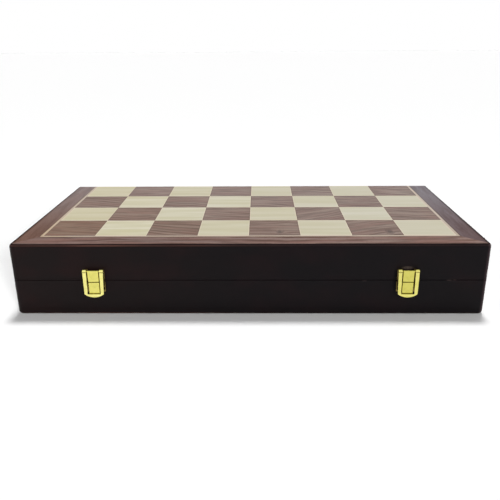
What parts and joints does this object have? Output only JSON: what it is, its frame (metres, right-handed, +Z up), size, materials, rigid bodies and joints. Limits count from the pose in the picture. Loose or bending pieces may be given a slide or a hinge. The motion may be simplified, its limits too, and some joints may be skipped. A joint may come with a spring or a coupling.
{
  "type": "folding chess box",
  "caption": "Folding wooden chess box: hinged trays with half of a chess board on each outer face, closed by brass flap latches on the front.",
  "frame": {"origin": "centre of the wooden box's bottom face, with the box closed", "axes": "+X along the front to the right, +Y from the latches to the hinges, +Z up"},
  "size_m": [0.4, 0.2086, 0.064],
  "materials": {
    "lacquered_case": "nearly black brown lacquer, semi-gloss",
    "lacquered_panel": "nearly black brown lacquer on its rounded edge",
    "walnut_border": "satin walnut veneer",
    "maple_line": "satin maple veneer",
    "maple_squares": "satin maple veneer",
    "walnut_squares": "satin figured walnut veneer",
    "felt": "short wool felt",
    "brass_screws": "polished",
    "brass_hinge": "polished",
    "brass_latch": "polished"
  },
  "bodies": {
    "base": {"base_front_wall": "lacquered_case", "base_back_wall": "lacquered_case", "base_left_wall": "lacquered_case", "base_right_wall": "lacquered_case", "base_panel": "lacquered_panel", "base_border_front": "walnut_border", "base_border_left": "walnut_border", "base_border_right": "walnut_border", "base_inlay_line": "maple_line", "base_light_squares": "maple_squares", "base_dark_squares": "walnut_squares", "base_felt_lining": "felt", "hinge_left_base_leaf": "brass_hinge", "hinge_right_base_leaf": "brass_hinge", "hinge_left_pin": "brass_hinge", "hinge_right_pin": "brass_hinge", "hinge_base_screws": "brass_screws", "latch_left_catch_plate": "brass_latch", "latch_right_catch_plate": "brass_latch", "latch_base_nails": "brass_latch"},
    "lid": {"lid_front_wall": "lacquered_case", "lid_back_wall": "lacquered_case", "lid_left_wall": "lacquered_case", "lid_right_wall": "lacquered_case", "lid_panel": "lacquered_panel", "lid_border_front": "walnut_border", "lid_border_left": "walnut_border", "lid_border_right": "walnut_border", "lid_inlay_line": "maple_line", "lid_light_squares": "maple_squares", "lid_dark_squares": "walnut_squares", "lid_felt_lining": "felt", "hinge_left_lid_leaf": "brass_hinge", "hinge_right_lid_leaf": "brass_hinge", "hinge_lid_screws": "brass_screws", "latch_left_lid_plate": "brass_latch", "latch_right_lid_plate": "brass_latch", "latch_left_pin": "brass_latch", "latch_right_pin": "brass_latch", "latch_lid_nails": "brass_latch"},
    "left_flap": {"latch_left_flap": "brass_latch"},
    "right_flap": {"latch_right_flap": "brass_latch"}
  },
  "joints": [
    {"name": "lid_hinge", "type": "hinge", "parent": "base", "child": "lid", "pos_m": [0, 0.10015, 0.032], "axis": [-1, 0, 0], "range_deg": [0, 180]},
    {"name": "left_latch_pivot", "type": "hinge", "parent": "lid", "child": "left_flap", "pos_m": [-0.13, -0.1031, 0.0413], "axis": [-1, 0, 0], "range_deg": [-3.8, 150]},
    {"name": "right_latch_pivot", "type": "hinge", "parent": "lid", "child": "right_flap", "pos_m": [0.1325, -0.1031, 0.0413], "axis": [-1, 0, 0], "range_deg": [-3.8, 150]}
  ]
}
